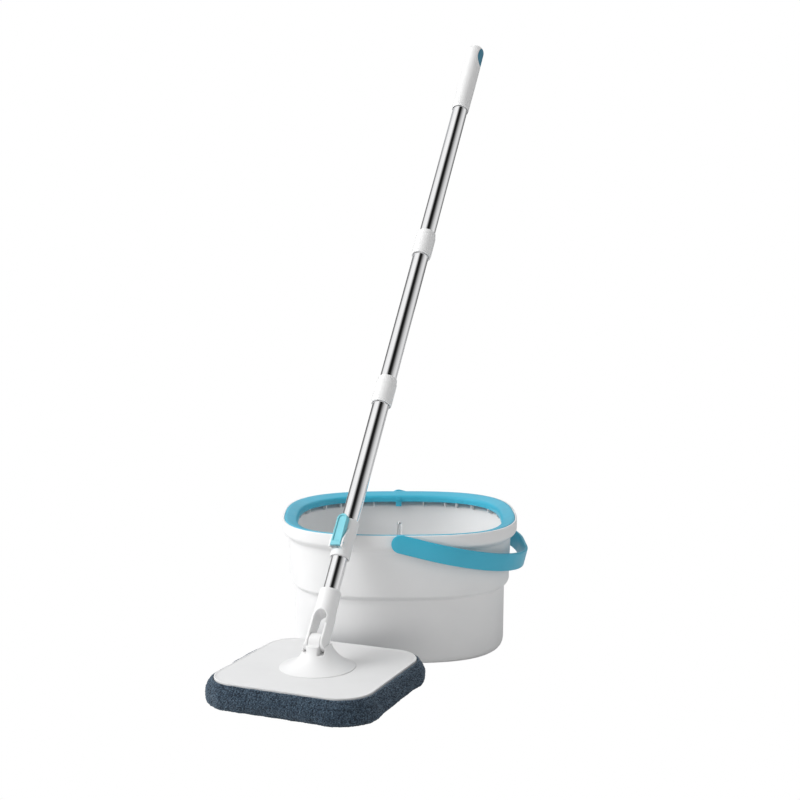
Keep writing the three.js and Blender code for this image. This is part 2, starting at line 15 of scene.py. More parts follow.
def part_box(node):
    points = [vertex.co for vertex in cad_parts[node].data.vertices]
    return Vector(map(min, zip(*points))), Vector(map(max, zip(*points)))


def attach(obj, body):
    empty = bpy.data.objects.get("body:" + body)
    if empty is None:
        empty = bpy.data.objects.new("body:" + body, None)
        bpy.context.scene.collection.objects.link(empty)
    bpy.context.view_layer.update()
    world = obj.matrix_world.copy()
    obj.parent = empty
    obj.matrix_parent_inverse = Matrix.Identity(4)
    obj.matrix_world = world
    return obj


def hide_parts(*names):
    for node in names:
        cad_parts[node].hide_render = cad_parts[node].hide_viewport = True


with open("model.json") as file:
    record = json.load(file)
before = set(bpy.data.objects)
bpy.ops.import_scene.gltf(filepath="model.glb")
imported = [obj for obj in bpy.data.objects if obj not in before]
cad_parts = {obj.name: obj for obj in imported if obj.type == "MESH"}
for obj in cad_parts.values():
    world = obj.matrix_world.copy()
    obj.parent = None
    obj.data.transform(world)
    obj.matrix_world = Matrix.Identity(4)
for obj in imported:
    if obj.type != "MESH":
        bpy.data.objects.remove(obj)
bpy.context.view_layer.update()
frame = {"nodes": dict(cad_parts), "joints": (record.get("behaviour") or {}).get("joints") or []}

MM = 0.001
GAP = 0.3           # clearance between pieces that touch
CLEAR = 4           # how far a cutting solid runs past what it cuts
ROUND = 96          # sides of a turned piece
TAU = 2 * math.pi


# ---------------------------------------------------------------- places, from the frame
def joint(name):
    return next(j for j in frame["joints"] if j["name"] == name)


def node_box(name):
    low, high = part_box(name)
    return Vector(low) / MM, Vector(high) / MM


def frame_matrix(x_axis, z_axis, origin):
    x_axis = Vector(x_axis).normalized()
    z_axis = Vector(z_axis).normalized()
    turn = Matrix((x_axis, z_axis.cross(x_axis), z_axis)).transposed().to_4x4()
    return Matrix.Translation(Vector(origin)) @ turn


HINGE = Vector(joint("head_fold")["pos_m"]) / MM
HINGE_AXIS = Vector(joint("head_fold")["axis"])
POLE_AXIS = Vector(joint("pole_pump")["axis"])
LEVER_AXIS = Vector(joint("lever_swing")["axis"])
PLATE_YAW = math.radians(-23.5)
plate_low, plate_high = node_box("mop_plate")
plate_middle = (plate_low + plate_high) / 2
PLATE = Matrix.Translation((plate_middle.x, plate_middle.y, 0)) @ Matrix.Rotation(PLATE_YAW, 4, "Z")
HUB = frame_matrix(HINGE_AXIS, (0, 0, 1), (HINGE.x, HINGE.y, 0))
POLE = frame_matrix(HINGE_AXIS, POLE_AXIS, HINGE)
LOCK = frame_matrix(LEVER_AXIS, POLE_AXIS, HINGE)
BUCKET = Matrix.Identity(4)


# ---------------------------------------------------------------- mesh helpers
def new_object(name, points, faces, matrix=BUCKET, smooth=True):
    """A mesh piece from points in millimetres, in the frame that matrix describes."""
    placed = [matrix @ Vector(p) * MM for p in points]
    mesh = bpy.data.meshes.new(name)
    mesh.from_pydata(placed, [], faces)
    mesh.validate()
    mesh.update()
    if smooth:
        mesh.shade_smooth()
    piece = bpy.data.objects.new(name, mesh)
    bpy.context.scene.collection.objects.link(piece)
    return piece


def fillet(points, radius, steps=5):
    """Rounds each corner of an open outline. A point may carry its own radius as a third number."""
    result = [points[0][:2]]
    for before, corner, after in zip(points, points[1:], points[2:]):
        here = Vector(corner[:2])
        size = corner[2] if len(corner) > 2 else radius
        back = Vector(before[:2]) - here
        ahead = Vector(after[:2]) - here
        size = min(size, back.length * 0.48, ahead.length * 0.48)
        if size <= 0:
            result.append(tuple(here))
            continue
        start = here + back.normalized() * size
        end = here + ahead.normalized() * size
        for i in range(steps + 1):
            t = i / steps
            point = start * (1 - t) ** 2 + here * 2 * t * (1 - t) + end * t ** 2
            result.append(tuple(point))
    result.append(points[-1][:2])
    return result


def arc(centre_x, centre_z, radius, start, end, steps):
    angles = [math.radians(start + (end - start) * i / steps) for i in range(steps + 1)]
    return [(centre_x + radius * math.cos(a), centre_z + radius * math.sin(a)) for a in angles]


def skin(name, rings, matrix=BUCKET, closed=False, smooth=True):
    """A surface through rings of equal length, closed on itself or capped. A ring of one point is a tip."""
    count = max(len(ring) for ring in rings)
    points, starts = [], []
    for ring in rings:
        starts.append(len(points))
        points += ring

    def index(row, i):
        return starts[row] + (i % count if len(rings[row]) > 1 else 0)

    pairs = list(zip(range(len(rings)), range(1, len(rings))))
    if closed:
        pairs.append((len(rings) - 1, 0))
    faces = []
    for low, high in pairs:
        for i in range(count):
            face = [index(low, i), index(low, i + 1), index(high, i + 1), index(high, i)]
            faces.append(tuple(dict.fromkeys(face)))
    if not closed and len(rings[0]) > 1:
        faces.append(tuple(index(0, i) for i in reversed(range(count))))
    if not closed and len(rings[-1]) > 1:
        faces.append(tuple(index(len(rings) - 1, i) for i in range(count)))
    return new_object(name, points, faces, matrix, smooth)


def turned(name, profile, matrix=BUCKET, steps=ROUND, outline=None, closed=False, smooth=True):
    """A profile of (radius, z) pairs carried round an outline, which is a circle unless one is given."""
    outline = outline or circle
    rings = []
    for radius, z in profile:
        ring = outline(radius, steps) if radius > 0 else [(0, 0)]
        rings.append([(x, y, z) for x, y in ring])
    return skin(name, rings, matrix, closed, smooth)


def circle(radius, steps):
    return [(radius * math.cos(TAU * i / steps), radius * math.sin(TAU * i / steps)) for i in range(steps)]


def rod(name, radius, bottom, top, matrix=BUCKET, edge=0.4, steps=ROUND):
    outline = [(0, bottom), (radius, bottom), (radius, top), (0, top)]
    return turned(name, fillet(outline, edge, 3), matrix, steps)


def tube(name, outer, inner, bottom, top, matrix=BUCKET, edge=0.3, steps=ROUND):
    middle = (outer + inner) / 2
    start = (middle, bottom)
    outline = [start, (outer, bottom), (outer, top), (inner, top), (inner, bottom), start]
    return turned(name, fillet(outline, edge, 3)[:-1], matrix, steps, closed=True)


def along_x(matrix, x=0.0, y=0.0, z=0.0):
    """The given frame with its Z turned to lie along its X, moved to a point."""
    return matrix @ Matrix.Translation((x, y, z)) @ Matrix.Rotation(math.pi / 2, 4, "Y")


def along_y(matrix, x=0.0, y=0.0, z=0.0):
    return matrix @ Matrix.Translation((x, y, z)) @ Matrix.Rotation(-math.pi / 2, 4, "X")


def block(name, low, high, matrix=BUCKET):
    corners = [(x, y, z) for x in (low[0], high[0]) for y in (low[1], high[1]) for z in (low[2], high[2])]
    faces = [(0, 1, 3, 2), (4, 6, 7, 5), (0, 4, 5, 1), (2, 3, 7, 6), (0, 2, 6, 4), (1, 5, 7, 3)]
    return new_object(name, corners, faces, matrix, smooth=False)


def prism(name, outline, low, high, matrix=BUCKET):
    """An outline in X and Z, pushed along Y from low to high."""
    rings = [[(x, y, z) for x, z in outline] for y in (high, low)]
    return skin(name, rings, matrix, smooth=False)


def take_modifiers(piece):
    """Applies every modifier on a piece."""
    bpy.context.view_layer.update()
    graph = bpy.context.evaluated_depsgraph_get()
    mesh = bpy.data.meshes.new_from_object(piece.evaluated_get(graph))
    piece.modifiers.clear()
    old = piece.data
    piece.data = mesh
    bpy.data.meshes.remove(old)
    return piece


def join(pieces):
    """Joins pieces into the first one."""
    with bpy.context.temp_override(active_object=pieces[0], selected_editable_objects=pieces):
        bpy.ops.object.join()
    return pieces[0]


def combine(body, other, operation):
    """Unites, cuts or keeps with another solid, which is used up."""
    modifier = body.modifiers.new("combine", "BOOLEAN")
    modifier.operation = operation
    modifier.solver = "EXACT"
    modifier.object = other
    take_modifiers(body)
    bpy.data.objects.remove(other)


def moulded(name, solids, cuts=(), voxel=0.7, smooth=6):
    """One moulded piece: solids united, cuts taken away, and every edge softly rounded."""
    body = solids[0]
    body.name = name
    for solid in solids[1:]:
        combine(body, solid, "UNION")
    for cut in cuts:
        combine(body, cut, "DIFFERENCE")
    remesh(body, voxel)
    soften = body.modifiers.new("soften", "SMOOTH")
    soften.factor = 0.5
    soften.iterations = smooth
    take_modifiers(body)
    body.data.shade_smooth()
    return body


def remesh(piece, voxel):
    modifier = piece.modifiers.new("voxels", "REMESH")
    modifier.mode = "VOXEL"
    modifier.voxel_size = voxel * MM
    take_modifiers(piece)


# ---------------------------------------------------------------- materials
class Nodes:
    """Short calls for building one material's node tree."""

    def __init__(self, name):
        self.material = bpy.data.materials.new(name)
        self.material.use_nodes = True
        self.tree = self.material.node_tree
        self.shader = self.tree.nodes["Principled BSDF"]
        coordinates = self.tree.nodes.new("ShaderNodeTexCoord")
        self.place = coordinates.outputs["Object"]

    def set(self, **values):
        for key, value in values.items():
            self.shader.inputs[key.replace("_", " ")].default_value = value

    def noise(self, scale, detail=3.0, roughness=0.55, stretch=None):
        texture = self.tree.nodes.new("ShaderNodeTexNoise")
        texture.inputs["Scale"].default_value = scale
        texture.inputs["Detail"].default_value = detail
        texture.inputs["Roughness"].default_value = roughness
        self.tree.links.new(self.mapped(stretch), texture.inputs["Vector"])
        return texture.outputs["Fac"]

    def cells(self, scale):
        texture = self.tree.nodes.new("ShaderNodeTexVoronoi")
        texture.inputs["Scale"].default_value = scale
        self.tree.links.new(self.place, texture.inputs["Vector"])
        return texture.outputs["Distance"]

    def mapped(self, stretch):
        if stretch is None:
            return self.place
        axis_turn, scale = stretch
        mapping = self.tree.nodes.new("ShaderNodeMapping")
        mapping.vector_type = "TEXTURE"
        mapping.inputs["Rotation"].default_value = axis_turn
        mapping.inputs["Scale"].default_value = scale
        self.tree.links.new(self.place, mapping.inputs["Vector"])
        return mapping.outputs["Vector"]

    def ramp(self, value, low, high, start=0.3, end=0.7):
        node = self.tree.nodes.new("ShaderNodeMapRange")
        node.inputs["From Min"].default_value = start
        node.inputs["From Max"].default_value = end
        node.inputs["To Min"].default_value = low
        node.inputs["To Max"].default_value = high
        self.tree.links.new(value, node.inputs["Value"])
        return node.outputs["Result"]

    def mix(self, value, first, second, start=0.3, end=0.7):
        node = self.tree.nodes.new("ShaderNodeValToRGB")
        node.color_ramp.elements[0].position = start
        node.color_ramp.elements[0].color = (*first, 1)
        node.color_ramp.elements[1].position = end
        node.color_ramp.elements[1].color = (*second, 1)
        self.tree.links.new(value, node.inputs["Fac"])
        return node.outputs["Color"]

    def bump(self, height, strength, depth):
        node = self.tree.nodes.new("ShaderNodeBump")
        node.inputs["Strength"].default_value = strength
        node.inputs["Distance"].default_value = depth * MM
        self.tree.links.new(height, node.inputs["Height"])
        self.tree.links.new(node.outputs["Normal"], self.shader.inputs["Normal"])

    def link(self, value, socket):
        self.tree.links.new(value, self.shader.inputs[socket])


def plastic(name, color, roughness, grain=900.0, depth=0.02, shade=0.97):
    """Moulded plastic: a slightly uneven colour, fine mould grain and soft handling marks in the gloss."""
    nodes = Nodes(name)
    darker = tuple(c * shade for c in color)
    nodes.link(nodes.mix(nodes.noise(14.0, 4.0), darker, color), "Base Color")
    nodes.link(nodes.ramp(nodes.noise(45.0, 5.0), roughness * 0.88, roughness * 1.14), "Roughness")
    nodes.set(IOR=1.49)
    nodes.bump(nodes.noise(grain, 2.0), 0.35, depth)
    return nodes.material


def chrome(name, roughness, axis):
    """Polished tube: fine draw lines along it, faint smears, and a little loss of gloss."""
    nodes = Nodes(name)
    turn = axis.to_track_quat("Z", "Y").to_euler()
    lines = nodes.noise(520.0, 2.0, stretch=(turn, (1, 1, 60)))
    smears = nodes.noise(30.0, 4.0, stretch=(turn, (1, 1, 3)))
    nodes.link(nodes.mix(smears, (0.83, 0.83, 0.84), (0.9, 0.9, 0.905)), "Base Color")
    nodes.link(nodes.ramp(smears, roughness * 0.8, roughness * 1.35), "Roughness")
    nodes.set(Metallic=1.0)
    nodes.bump(lines, 0.12, 0.01)
    return nodes.material


def microfibre(name):
    """Dyed short pile with a soft sheen; painted shade makes it darker between the tufts and paler on their
    tips.
    """
    nodes = Nodes(name)
    tufts = nodes.cells(520.0)
    mixed = nodes.tree.nodes.new("ShaderNodeMix")
    mixed.data_type = "RGBA"
    mixed.blend_type = "MULTIPLY"
    mixed.inputs["Factor"].default_value = 1.0
    # Painted shade: the colour darkens from the tufts' tips into the hollows between them.
    deep = nodes.mix(tufts, (0.115, 0.178, 0.24), (0.016, 0.028, 0.044), 0.1, 0.72)
    strands = nodes.noise(420.0, 3.0, stretch=((0, 0, 0), (1, 1, 3.5)))
    tint = nodes.mix(strands, (0.38, 0.43, 0.5), (1.0, 1.0, 1.0), 0.4, 0.62)
    nodes.tree.links.new(deep, mixed.inputs[6])
    nodes.tree.links.new(tint, mixed.inputs[7])
    nodes.link(mixed.outputs[2], "Base Color")
    nodes.set(Roughness=0.95, Sheen_Weight=0.35, Sheen_Roughness=0.5, Sheen_Tint=(0.6, 0.75, 0.9, 1))
    nodes.bump(nodes.ramp(tufts, 1.0, 0.0, 0.0, 0.8), 0.8, 1.2)
    return nodes.material


SHELL_WHITE = plastic("shell_white", (0.86, 0.86, 0.86), 0.42, depth=0.012)
PLATE_WHITE = plastic("plate_white", (0.76, 0.76, 0.76), 0.5, grain=700.0, depth=0.02)
PART_WHITE = plastic("part_white", (0.85, 0.85, 0.85), 0.34, grain=700.0, depth=0.004)
BLUE = plastic("rim_blue", (0.05, 0.47, 0.66), 0.38, shade=0.94)
LEVER_BLUE = plastic("lever_blue", (0.2, 0.59, 0.68), 0.34, shade=0.95)
# Painted shade: a darkened copy of the blue plastic for the grip insert, which sits in shade.
CAP_BLUE_PAINTED_SHADE = plastic("cap_blue_painted_shade", (0.02, 0.21, 0.33), 0.4, shade=0.95)
CHROME = chrome("chrome_tube", 0.1, POLE_AXIS)
STEEL = chrome("bright_steel", 0.2, Vector((0, 0, 1)))
MICROFIBRE = microfibre("microfibre")


def finish_piece(piece, look, body, slot, *nodes):
    """Gives a piece its material and its body, and hides the CAD nodes that it stands for. The slot is not
    used.
    """
    piece.data.materials.clear()
    piece.data.materials.append(look)
    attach(piece, body)
    if nodes:
        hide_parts(*nodes)
    return piece


# ---------------------------------------------------------------- bucket
WALL = 3
BASE_RADIUS = 12    # rounding between the underside and the side
BUCKET_POWER = 2.82  # 2 is an ellipse, larger is squarer
BUCKET_STEPS = 288
BAND_OFFSET = 4
SHELL_NODES = ("bucket_floor", "bucket_lower", "bucket_middle", "bucket_band")
shell_high = node_box("bucket_band")[1]
ring_low, ring_high = node_box("rim_ring")
HALF_X = shell_high.x - BAND_OFFSET
STRETCH = shell_high.y / shell_high.x
RIM_TOP = ring_high.z - 1.4
BAND_TOP = shell_high.z
BAND_BOTTOM = 186
LOWER_OFFSET = -16.5
LOWER_TOP = 101
MIDDLE_OFFSET = -7
MIDDLE_BOTTOM = 107
MIDDLE_TOP = 178
RING_WIDTH = 20
RING_SLOPE = 5.5
RING_SKIRT = 10
RING_THICK = 2.6
RIB_HALF = 0.8
RIB_DEPTH = 9
RIB_ANGLES = (20, 34, 48, 57.5, 64, 76, 104, 116, 122.5, 132, 146, 160)  # degrees, on both sides
LATCH_ANGLES = (90, -90)
HOOK_ANGLES = (53, 127, -53, -127)
BOSS_TOP_RADIUS = 11
NUT_BORE = 4.4
NUT_RADIUS = 8


def out(offset):
    """Half width of the bucket's plan at a distance outside its nominal outline."""
    return HALF_X + offset


def oval_point(radius, angle):
    """A point on the bucket's plan, which lies between an ellipse and a rectangle."""
    c, s = math.cos(angle), math.sin(angle)
    reach = (abs(c) ** BUCKET_POWER + abs(s / STRETCH) ** BUCKET_POWER) ** (-1 / BUCKET_POWER)
    return radius * reach * c, radius * reach * s


def oval(radius, steps):
    return [oval_point(radius, TAU * i / steps) for i in range(steps)]


def bucket_shell():
    """Three stepped tiers and the band round the rim, in one moulding."""
    outside = [
        (0, 0),
        (out(LOWER_OFFSET), 0, BASE_RADIUS),
        (out(LOWER_OFFSET + 1), LOWER_TOP, 2.0),
        (out(MIDDLE_OFFSET - 1), MIDDLE_BOTTOM, 2.5),
        (out(MIDDLE_OFFSET + 1), MIDDLE_TOP, 3.0),
        (out(BAND_OFFSET), BAND_BOTTOM, 4.0),
        (out(BAND_OFFSET), BAND_TOP, 1.6),
        (out(BAND_OFFSET - WALL), BAND_TOP, 0.6),
        (out(BAND_OFFSET - WALL), BAND_BOTTOM + WALL, 2.0),
        (out(MIDDLE_OFFSET + 1 - WALL), MIDDLE_TOP + WALL, 2.5),
        (out(MIDDLE_OFFSET - 1 - WALL), MIDDLE_BOTTOM + WALL, 2.5),
        (out(LOWER_OFFSET + 1 - WALL), LOWER_TOP + WALL, 2.0),
        (out(LOWER_OFFSET - WALL), WALL, BASE_RADIUS - WALL),
        (0, WALL),
    ]
    shell = turned("bucket_wall", fillet(outside, 1.0, 6), steps=BUCKET_STEPS, outline=oval)
    return finish_piece(join([shell] + rim_ribs()), SHELL_WHITE, "bucket", "white_shell", *SHELL_NODES)


def wall_place(angle, offset):
    """A frame on the bucket's plan at that angle: X points outward and Z up."""
    step = 1e-3
    here, ahead = (Vector((*oval_point(HALF_X + offset, a), 0)) for a in (angle, angle + step))
    outward = Vector((ahead.y - here.y, here.x - ahead.x, 0)).normalized()
    return frame_matrix(outward, (0, 0, 1), here)


def rim_ribs():
    """Short gussets that show below the blue ring's skirt, all round the inside of the wall."""
    top = RIM_TOP - RING_SLOPE - RING_THICK
    foot = top - RING_SKIRT - 6
    ribs = []
    for angle in (0, 180, *RIB_ANGLES, *(-angle for angle in RIB_ANGLES)):
        outline = [(-RIB_DEPTH, foot + 3), (-6, foot), (0, foot - 2), (0, top), (-RIB_DEPTH, top)]
        place = wall_place(math.radians(angle), MIDDLE_OFFSET - WALL / 2)
        ribs.append(prism("rib", outline, -RIB_HALF, RIB_HALF, place))
    return ribs


def rim_ring():
    """Blue ring inside the band: a sloping top, a skirt inside and a rim that clips to the band."""
    outside = BAND_OFFSET - WALL - GAP
    inner_top = RIM_TOP - RING_SLOPE
    skirt = inner_top - RING_SKIRT
    profile = [
        (out(outside), RIM_TOP - 6),
        (out(outside), RIM_TOP, 1.5),
        (out(outside - 4), RIM_TOP, 4),
        (out(-RING_WIDTH), inner_top, 4.5),
        (out(-RING_WIDTH), skirt, 0.6),
        (out(-RING_WIDTH + RING_THICK), skirt, 0.6),
        (out(-RING_WIDTH + RING_THICK), inner_top - RING_THICK, 1.5),
        (out(outside - RING_THICK), RIM_TOP - RING_THICK, 1.5),
        (out(outside - RING_THICK), ring_low.z, 0.6),
        (out(outside), ring_low.z, 0.6),
        (out(outside), RIM_TOP - 6),
    ]
    ring = turned("rim_band", fillet(profile, 1.0, 6)[:-1], steps=BUCKET_STEPS, outline=oval, closed=True)
    return finish_piece(join([ring] + ring_latches()), BLUE, "bucket", "blue_plastic", "rim_ring")


def ring_latches():
    """Small latches that hang from the ring's skirt, at the middle of each side and near the corners."""
    middle = RIM_TOP - RING_SLOPE - RING_SKIRT / 2
    latches = []
    for angle in LATCH_ANGLES:
        place = along_x(wall_place(math.radians(angle), -RING_WIDTH), z=middle)
        latches.append(rod("button", 4.2, -1.6, 0.5, place, 0.6, 32))
        place = wall_place(math.radians(angle), -RING_WIDTH)
        latches.append(block("tongue", (-0.4, -5, middle - 13), (2.2, 5, middle), place))
    for angle in HOOK_ANGLES:
        place = along_x(wall_place(math.radians(angle), -RING_WIDTH), z=middle)
        latches.append(rod("hook", 1.5, -0.8, 0.5, place, 0.3, 16))
    return latches


def spindle():
    """Pin that the mop head drops onto, with its boss and nut."""
    low, high = node_box("spindle_pin")
    radius = (high.x - low.x) / 2
    profile = [(0, low.z), (radius, low.z, 0.3), (radius, high.z - radius)]
    profile = fillet(profile, 0.3, 2) + arc(0, high.z - radius, radius, 0, 90, 8)[1:]
    finish_piece(turned("spindle", profile, steps=48), STEEL, "bucket", "bright_steel", "spindle_pin")
    low, high = node_box("spindle_boss")
    foot = (high.x - low.x) / 2
    outline = [
        (0, low.z),
        (foot, low.z),
        (foot, low.z + 3, 2),
        (BOSS_TOP_RADIUS + 4, low.z + 18, 8),
        (BOSS_TOP_RADIUS, high.z, 1.5),
        (0, high.z),
    ]
    boss = turned("boss", fillet(outline, 0.8, 6))
    finish_piece(boss, SHELL_WHITE, "bucket", "white_shell", "spindle_boss")
    low, high = node_box("spindle_nut")
    outline = [
        (NUT_BORE, low.z),
        (NUT_RADIUS, low.z, 0.8),
        (NUT_RADIUS, high.z, 1.0),
        (NUT_BORE, high.z, 0.4),
        (NUT_BORE, low.z),
    ]
    nut = turned("nut", fillet(outline, 0.4, 3)[:-1], steps=6, closed=True, smooth=False)
    finish_piece(nut, STEEL, "bucket", "bright_steel", "spindle_nut")


# ---------------------------------------------------------------- carrying handle
BAIL_REACH = 210
BAIL_HEIGHT = 28
BAIL_THICK = 5
BAIL_EDGE = 1.8
BAIL_DROOP = math.radians(14.2)
BAIL_ARM = 38       # straight length beside each pivot
BAIL_CROSS = 29     # half of the straight length across the far side


def bail_route(half_y, reach, steps=48):
    """The handle's centre line in plan, from the front pivot round to the back one."""
    straight = 10
    front = [(BAIL_ARM * i / straight, -half_y) for i in range(straight)]
    for i in range(steps + 1):
        angle = math.pi / 2 * i / steps
        across = BAIL_ARM + (reach - BAIL_ARM) * math.sin(angle)
        front.append((across, -BAIL_CROSS - (half_y - BAIL_CROSS) * math.cos(angle)))
    return front + [(x, -y) for x, y in reversed(front)]


def rounded_section(half_height, half_thick, corner, steps=4):
    """A flat bar's section with round corners, as (across, up) pairs."""
    corner = min(corner, half_height, half_thick)
    points = []
    for sign_x, sign_z, start in ((1, 1, 0), (-1, 1, 90), (-1, -1, 180), (1, -1, 270)):
        centre_x = sign_x * (half_thick - corner)
        centre_z = sign_z * (half_height - corner)
        points += arc(centre_x, centre_z, corner, start, start + 90, steps)
    return points


def bail():
    """Flat band swept round the handle's centre line, with round ends at the pivots."""
    pivot = Vector(joint("bail_swing")["pos_m"]) / MM
    matrix = Matrix.Translation((0, 0, pivot.z)) @ Matrix.Rotation(BAIL_DROOP, 4, "Y")
    half_y = node_box("bail_handle")[1].y - BAIL_THICK / 2
    route = bail_route(half_y, BAIL_REACH - BAIL_THICK / 2)
    end_steps = 10
    end = BAIL_HEIGHT / 2
    stations = []
    for i in range(end_steps):
        angle = math.radians(6 + 84 * i / end_steps)
        stations.append((-end * math.cos(angle), -half_y, end * math.sin(angle)))
    stations += [(x, y, end) for x, y in route]
    stations += [(x, -y, h) for x, y, h in reversed(stations[:end_steps])]
    rings = []
    for i, (x, y, half_height) in enumerate(stations):
        before = stations[max(i - 1, 0)]
        after = stations[min(i + 1, len(stations) - 1)]
        along = Vector((after[0] - before[0], after[1] - before[1], 0)).normalized()
        across = Vector((along.y, -along.x, 0))
        section = rounded_section(half_height, BAIL_THICK / 2, BAIL_EDGE)
        rings.append([(x + across.x * a, y + across.y * a, up) for a, up in section])
    handle = skin("carry_handle", rings, matrix)
    finish_piece(handle, BLUE, "bail", "blue_plastic", "bail_handle")


# ---------------------------------------------------------------- mop head
PLATE_SIDE = 239
PLATE_CORNER = 46
PLATE_SKIN_INSET = 40
PAD_INSET = 34
PAD_OVERHANG = 13
PAD_TOP = 39.2
PAD_HOLE = 21
PAD_STEPS = 320
PAD_STEP = 3.0
PAD_SEAM_HEIGHT = 26.5
PAD_SEAM_WIDTH = 1.3
PAD_SEAM_DEPTH = 1.1
PILE_WAVES = ((2.2, 0.34), (3.4, 0.3), (9.0, 0.25), (26.0, 0.5))    # wave length and depth
PILE_DIRECTIONS = 5


def round_square(side, corner):
    """Makes an outline function: radius there means the distance outside the square's own side."""
    def outline(offset, steps):
        half = side / 2 - corner
        radius = corner + offset
        arc_steps = 16
        side_steps = steps // 4 - arc_steps
        points = []
        for quarter in range(4):
            turn = math.radians(90 * quarter)
            c, s = math.cos(turn), math.sin(turn)
            local = [(half + radius, -half + 2 * half * i / side_steps) for i in range(side_steps)]
            local += arc(half, half, radius, 0, 90, arc_steps)[:-1]
            points += [(x * c - y * s, x * s + y * c) for x, y in local]
        return points
    return outline


def square_skin(name, profile, matrix, steps=160, side=PLATE_SIDE, corner=PLATE_CORNER, smooth=True):
    """Profile pairs are (distance outside the plate's side, z); both ends are capped."""
    outline = round_square(side, corner)
    rings = [[(x, y, z) for x, y in outline(offset, steps)] for offset, z in profile]
    return skin(name, rings, matrix, smooth=smooth)


def mop_plate():
    """Plate with a turned-down edge and a slightly raised border."""
    top = plate_high.z
    bottom = plate_low.z
    profile = [
        (-PLATE_SKIN_INSET, bottom + 6),
        (-5, bottom + 6, 1.0),
        (-5, bottom, 0.5),
        (0, bottom, 0.8),
        (0, top, 1.3),
        (-2.2, top, 0.6),
        (-3.4, top - 0.7, 0.8),
        (-10, top - 0.7, 2.0),
        (-PLATE_SKIN_INSET, top - 0.7),
    ]
    plate = square_skin("head_plate", fillet(profile, 0.8, 4), PLATE)
    finish_piece(plate, PLATE_WHITE, "mop_head", "white_plate", "mop_plate")


HUB_FOOT = 55
HUB_FOOT_EDGE = 0.7
HUB_NECK = 20.5
HUB_FULLNESS = 1.6
HUB_LEAN = 4
LUG_HALF = 9.0
LUG_RADIUS = 12.5
PRONG_OUTER = 16.8
FOLD_PIN_RADIUS = 3


def hub():
    """Trumpet flange with a round-ended lug between two slots that take the yoke's prongs."""
    foot = plate_high.z - 0.8
    start = foot + HUB_FOOT_EDGE
    centre = HINGE.z
    shoulder = centre - 13.6
    top = centre - 2
    steps = 26
    rings = [circle(HUB_FOOT, ROUND), circle(HUB_FOOT, ROUND)]
    heights = [foot, start]
    leans = [0, 0]
    for i in range(1, steps + 1):
        angle = math.pi / 2 * i / steps
        rings.append(circle(HUB_FOOT - (HUB_FOOT - HUB_NECK) * math.sin(angle) ** HUB_FULLNESS, ROUND))
        heights.append(start + (top - start) * (1 - math.cos(angle)))
        leans.append(HUB_LEAN * math.sin(2 * angle))
    placed = [[(x + lean, y, z) for x, y in ring] for ring, z, lean in zip(rings, heights, leans)]
    bell = skin("bell", placed, HUB)
    slot = PRONG_OUTER + GAP
    lug = rod("lug", LUG_RADIUS, -LUG_HALF, LUG_HALF, along_x(HUB, z=centre), 0.8)
    web = block("web", (-LUG_HALF, -12.4, foot + 3), (LUG_HALF, 12.4, centre), HUB)
    cuts = []
    for side in (-1, 1):
        low, high = sorted((side * (LUG_HALF + 0.2), side * slot))
        cuts.append(rod("slot_round", 13.4, low, high, along_x(HUB, z=centre)))
        cuts.append(block("slot", (low, -30, shoulder), (high, 30, centre + 20), HUB))
    piece = moulded("head_hub", [bell, lug, web], cuts, 0.7, 6)
    finish_piece(piece, PART_WHITE, "mop_head", "white_plastic", "hub")
    pin_half = PRONG_OUTER - 1.6
    pin = rod("fold_pin", FOLD_PIN_RADIUS, -pin_half, pin_half, along_x(HUB, z=centre), 0.6, 32)
    finish_piece(pin, STEEL, "mop_head", "bright_steel", "hinge_pin")


# ---------------------------------------------------------------- microfibre pad
def pad_form():
    """The pad as a closed loop of rings: out along the floor, up the round side, and back under the plate."""
    seat = plate_low.z - 0.6
    out = PAD_OVERHANG
    lip = 0.7
    side = fillet([
        (-PAD_INSET, 0.8),
        (out - 12, 0.8, 6),
        (out - 1.0, 6, 8),
        (out - 0.6, PAD_TOP - 12, 9),
        (lip + 1.5, PAD_TOP, 4),
        (lip, PAD_TOP - 1.2, 1),
        (lip, seat, 1),
        (-PAD_INSET, seat),
    ], 2.0, 6)
    outline = round_square(PLATE_SIDE, PLATE_CORNER)
    rings = [[(x, y, z) for x, y in outline(offset, PAD_STEPS)] for offset, z in evenly(side, PAD_STEP)]
    inner = [(x / math.hypot(x, y) * PAD_HOLE, y / math.hypot(x, y) * PAD_HOLE) for x, y, _ in rings[0]]
    spokes = 12
    under, over = [], []
    for i in range(spokes):
        t = i / spokes
        ring = [(a[0] + (b[0] - a[0]) * t, a[1] + (b[1] - a[1]) * t) for a, b in zip(inner, rings[0])]
        under.append([(x, y, side[0][1]) for x, y in ring])
        over.append([(x, y, seat) for x, y in ring])
    return skin("pad", under + rings + over[::-1], PLATE, closed=True)


def evenly(outline, step):
    """Points at equal steps along an open outline."""
    lengths = [0.0]
    for a, b in zip(outline, outline[1:]):
        lengths.append(lengths[-1] + math.dist(a, b))
    count = round(lengths[-1] / step)
    marks = np.linspace(0, lengths[-1], count + 1)
    across = np.interp(marks, lengths, [p[0] for p in outline])
    up = np.interp(marks, lengths, [p[1] for p in outline])
    return list(zip(across.tolist(), up.tolist()))


def puff(piece, pressure, frames, cap):
    """Fills the piece by cloth simulation, then keeps each point within cap of where it began."""
    scene = bpy.context.scene
    rest = points_of(piece)
    cloth = piece.modifiers.new("cloth", "CLOTH")
    cloth.settings.use_pressure = True
    cloth.settings.uniform_pressure_force = pressure
    cloth.settings.effector_weights.gravity = 0
    cloth.settings.quality = 4
    cloth.settings.tension_stiffness = 20
    cloth.settings.compression_stiffness = 20
    for number in range(1, frames + 1):
        scene.frame_set(number)
    take_modifiers(piece)
    scene.frame_set(1)
    moved = points_of(piece) - rest
    length = np.linalg.norm(moved, axis=1, keepdims=True)
    moved *= np.minimum(1, cap * MM / np.maximum(length, 1e-9))
    return rest + moved


